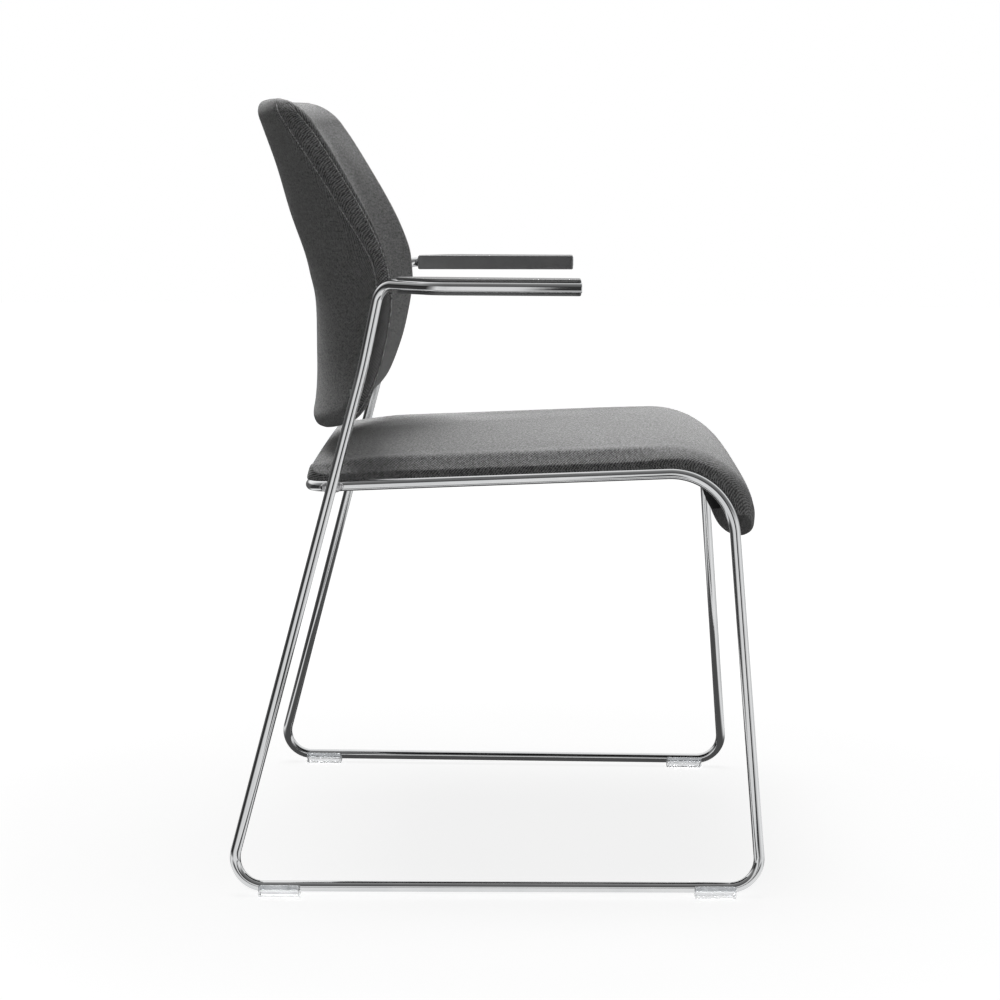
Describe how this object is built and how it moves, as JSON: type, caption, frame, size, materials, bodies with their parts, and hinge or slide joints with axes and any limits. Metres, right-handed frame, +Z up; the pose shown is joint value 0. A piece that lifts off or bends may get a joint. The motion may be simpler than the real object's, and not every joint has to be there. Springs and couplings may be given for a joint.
{
  "type": "sled base visitor chair",
  "caption": "Visitor chair with arms: a chromed rod sled frame, an upholstered seat with a rolled front, a curved upholstered back and flat arm pads. A seat for one person.",
  "frame": {"origin": "on the floor, under the middle of the chair's box", "axes": "+Z up, -Y the way the sitter faces, +X to the sitter's left; X = 0 is the middle plane"},
  "size_m": [0.5792, 0.5498, 0.813],
  "materials": {
    "chrome_rod": "polished chrome plate",
    "weld": "plated weld bead",
    "zinc_steel": "zinc plated, satin",
    "fabric": "mid grey diagonal weave",
    "pad_plastic": "dark grey, fine satin grain",
    "clear_plastic": "clear, slightly frosted",
    "cover_plastic": "black, plain",
    "plywood": "bare beech plywood"
  },
  "bodies": {
    "root": {"right_arm_rod": "chrome_rod", "right_rear_upright": "chrome_rod", "right_floor_rail": "chrome_rod", "right_front_leg": "chrome_rod", "right_seat_rail": "chrome_rod", "left_arm_rod": "chrome_rod", "left_rear_upright": "chrome_rod", "left_floor_rail": "chrome_rod", "left_front_leg": "chrome_rod", "left_seat_rail": "chrome_rod", "rear_cross_rod": "chrome_rod", "right_rail_weld": "weld", "left_rail_weld": "weld", "right_rear_glide": "clear_plastic", "right_front_glide": "clear_plastic", "left_rear_glide": "clear_plastic", "left_front_glide": "clear_plastic", "right_arm_pad": "pad_plastic", "left_arm_pad": "pad_plastic", "seat_cushion": "fabric", "seat_underside_cover": "cover_plastic", "seat_shell": "plywood", "seat_bracket_front_right": "zinc_steel", "seat_screw_front_right": "zinc_steel", "seat_bracket_rear_right": "zinc_steel", "seat_screw_rear_right": "zinc_steel", "seat_bracket_front_left": "zinc_steel", "seat_screw_front_left": "zinc_steel", "seat_bracket_rear_left": "zinc_steel", "seat_screw_rear_left": "zinc_steel", "back_shell": "plywood", "back_front_cushion": "fabric", "back_rear_cushion": "fabric", "right_back_band": "fabric", "left_back_band": "fabric", "back_lug_lower_right": "zinc_steel", "back_screw_lower_right": "zinc_steel", "back_lug_upper_right": "zinc_steel", "back_screw_upper_right": "zinc_steel", "back_lug_lower_left": "zinc_steel", "back_screw_lower_left": "zinc_steel", "back_lug_upper_left": "zinc_steel", "back_screw_upper_left": "zinc_steel"}
  },
  "joints": []
}
